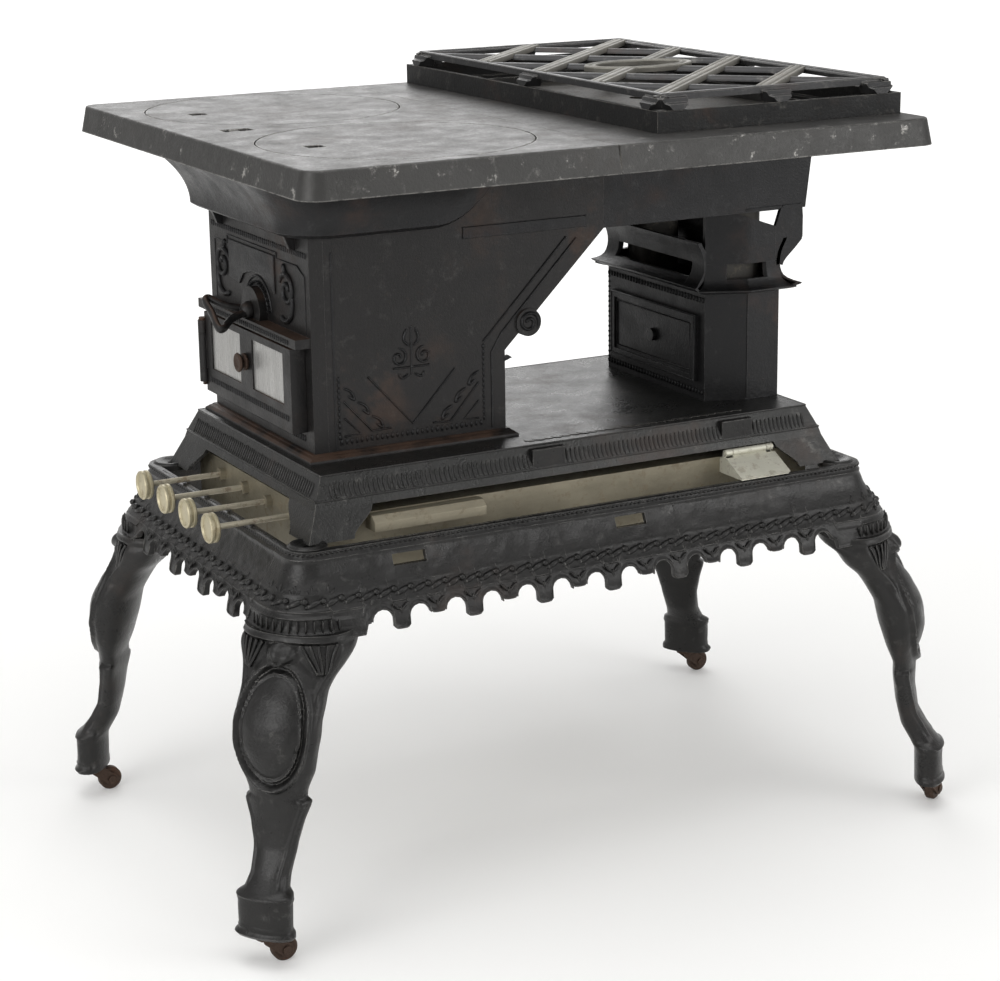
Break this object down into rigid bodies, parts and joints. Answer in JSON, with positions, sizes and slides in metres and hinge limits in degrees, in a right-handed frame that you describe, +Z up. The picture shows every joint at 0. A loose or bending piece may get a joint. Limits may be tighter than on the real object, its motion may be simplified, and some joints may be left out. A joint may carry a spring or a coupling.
{
  "type": "oil cook stove",
  "caption": "Cast-iron oil cook stove with two lids, a pot grate, a window door, wick knobs, a pendant apron and splayed legs on casters.",
  "frame": {"origin": "on the floor, midway between the legs", "axes": "+X to the right along the long front, +Y to the back, +Z up"},
  "size_m": [0.7224, 0.5168, 0.68],
  "materials": {
    "worn_iron": "worn satin",
    "black_iron": "satin black",
    "base_iron": "satin black, worn edges",
    "rusty_iron": "rusty",
    "tin": "dull tinplate",
    "pale_tin": "chipped pale paint",
    "brass": "tarnished",
    "wick_cotton": "woven cotton",
    "mica": "cloudy mica"
  },
  "bodies": {
    "stove": {"top_plate_left": "worn_iron", "top_plate_right": "worn_iron", "lid_front": "worn_iron", "lid_back": "worn_iron", "pot_tray": "black_iron", "pot_grate": "worn_iron", "flare_hood": "black_iron", "end_panel": "black_iron", "front_panel": "black_iron", "back_panel": "black_iron", "flue_panel": "black_iron", "door_hinge_pin": "rusty_iron", "side_skirt": "black_iron", "side_box": "black_iron", "side_box_cover": "black_iron", "side_collar": "black_iron", "chimneys": "tin", "plinth": "base_iron", "apron_front": "base_iron", "apron_back": "base_iron", "apron_left": "base_iron", "apron_right": "base_iron", "cover_screw": "black_iron", "oil_tank": "tin", "tank_strip": "tin", "filler_box": "pale_tin", "wick_tubes": "tin", "leg_front_left": "base_iron", "leg_front_right": "base_iron", "leg_back_left": "base_iron", "leg_back_right": "base_iron"},
    "shaft_1": {"wick_shaft_1": "brass", "wick_knob_1": "brass"},
    "wick_1": {"wick_1": "wick_cotton"},
    "shaft_2": {"wick_shaft_2": "brass", "wick_knob_2": "brass"},
    "wick_2": {"wick_2": "wick_cotton"},
    "shaft_3": {"wick_shaft_3": "brass", "wick_knob_3": "brass"},
    "wick_3": {"wick_3": "wick_cotton"},
    "shaft_4": {"wick_shaft_4": "brass", "wick_knob_4": "brass"},
    "wick_4": {"wick_4": "wick_cotton"},
    "door": {"window_door": "black_iron", "mica_panes": "mica"},
    "knob": {"turn_knob": "rusty_iron"},
    "lever": {"lever_handle": "black_iron"},
    "filler_cap": {"filler_lid": "pale_tin"},
    "caster_front_left": {"caster_fork_front_left": "rusty_iron", "caster_axle_front_left": "rusty_iron"},
    "wheel_front_left": {"caster_wheel_front_left": "rusty_iron"},
    "caster_front_right": {"caster_fork_front_right": "rusty_iron", "caster_axle_front_right": "rusty_iron"},
    "wheel_front_right": {"caster_wheel_front_right": "rusty_iron"},
    "caster_back_left": {"caster_fork_back_left": "rusty_iron", "caster_axle_back_left": "rusty_iron"},
    "wheel_back_left": {"caster_wheel_back_left": "rusty_iron"},
    "caster_back_right": {"caster_fork_back_right": "rusty_iron", "caster_axle_back_right": "rusty_iron"},
    "wheel_back_right": {"caster_wheel_back_right": "rusty_iron"}
  },
  "joints": [
    {"name": "shaft_1_turn", "type": "hinge", "parent": "stove", "child": "shaft_1", "pos_m": [-0.24, -0.078, 0.3335], "axis": [1, 0, 0], "range_deg": [0, 115]},
    {"name": "wick_1_rise", "type": "slide", "parent": "stove", "child": "wick_1", "axis": [0, 0, 1], "range_m": [0, 0.014]},
    {"name": "shaft_2_turn", "type": "hinge", "parent": "stove", "child": "shaft_2", "pos_m": [-0.24, -0.026, 0.3335], "axis": [-1, 0, 0], "range_deg": [0, 115]},
    {"name": "wick_2_rise", "type": "slide", "parent": "stove", "child": "wick_2", "axis": [0, 0, 1], "range_m": [0, 0.014]},
    {"name": "shaft_3_turn", "type": "hinge", "parent": "stove", "child": "shaft_3", "pos_m": [-0.24, 0.026, 0.3335], "axis": [1, 0, 0], "range_deg": [0, 115]},
    {"name": "wick_3_rise", "type": "slide", "parent": "stove", "child": "wick_3", "axis": [0, 0, 1], "range_m": [0, 0.014]},
    {"name": "shaft_4_turn", "type": "hinge", "parent": "stove", "child": "shaft_4", "pos_m": [-0.24, 0.078, 0.3335], "axis": [-1, 0, 0], "range_deg": [0, 115]},
    {"name": "wick_4_rise", "type": "slide", "parent": "stove", "child": "wick_4", "axis": [0, 0, 1], "range_m": [0, 0.014]},
    {"name": "door_swing", "type": "hinge", "parent": "stove", "child": "door", "pos_m": [-0.241, 0.113, 0.44], "axis": [0, 0, 1], "range_deg": [-110, 0]},
    {"name": "door_knob_turn", "type": "hinge", "parent": "door", "child": "knob", "pos_m": [-0.24, 0.016, 0.448], "axis": [1, 0, 0], "range_deg": [0, 90]},
    {"name": "lever_turn", "type": "hinge", "parent": "stove", "child": "lever", "pos_m": [-0.234, 0.016, 0.493], "axis": [1, 0, 0], "range_deg": [-68, 0]},
    {"name": "filler_lid_swing", "type": "hinge", "parent": "stove", "child": "filler_cap", "pos_m": [0.172, -0.146, 0.35], "axis": [-1, 0, 0], "range_deg": [0, 110]},
    {"name": "caster_front_left_swivel", "type": "hinge", "parent": "stove", "child": "caster_front_left", "pos_m": [-0.33441, -0.21075, 0.026], "axis": [0, 0, 1], "continuous": true},
    {"name": "caster_front_left_roll", "type": "hinge", "parent": "caster_front_left", "child": "wheel_front_left", "pos_m": [-0.32041, -0.21075, 0.011], "axis": [0, 1, 0], "continuous": true},
    {"name": "caster_front_right_swivel", "type": "hinge", "parent": "stove", "child": "caster_front_right", "pos_m": [0.33441, -0.21075, 0.026], "axis": [0, 0, 1], "continuous": true},
    {"name": "caster_front_right_roll", "type": "hinge", "parent": "caster_front_right", "child": "wheel_front_right", "pos_m": [0.34653, -0.20375, 0.011], "axis": [-0.5, 0.866, 0], "continuous": true},
    {"name": "caster_back_left_swivel", "type": "hinge", "parent": "stove", "child": "caster_back_left", "pos_m": [-0.33441, 0.21075, 0.026], "axis": [0, 0, 1], "continuous": true},
    {"name": "caster_back_left_roll", "type": "hinge", "parent": "caster_back_left", "child": "wheel_back_left", "pos_m": [-0.32041, 0.21075, 0.011], "axis": [0, 1, 0], "continuous": true},
    {"name": "caster_back_right_swivel", "type": "hinge", "parent": "stove", "child": "caster_back_right", "pos_m": [0.33441, 0.21075, 0.026], "axis": [0, 0, 1], "continuous": true},
    {"name": "caster_back_right_roll", "type": "hinge", "parent": "caster_back_right", "child": "wheel_back_right", "pos_m": [0.34841, 0.21075, 0.011], "axis": [0, 1, 0], "continuous": true}
  ],
  "couplings": [
    {"joint": "shaft_1_turn", "follows": "wick_1_rise", "rad_per_m": 142.86},
    {"joint": "shaft_2_turn", "follows": "wick_2_rise", "rad_per_m": 142.86},
    {"joint": "shaft_3_turn", "follows": "wick_3_rise", "rad_per_m": 142.86},
    {"joint": "shaft_4_turn", "follows": "wick_4_rise", "rad_per_m": 142.86}
  ]
}
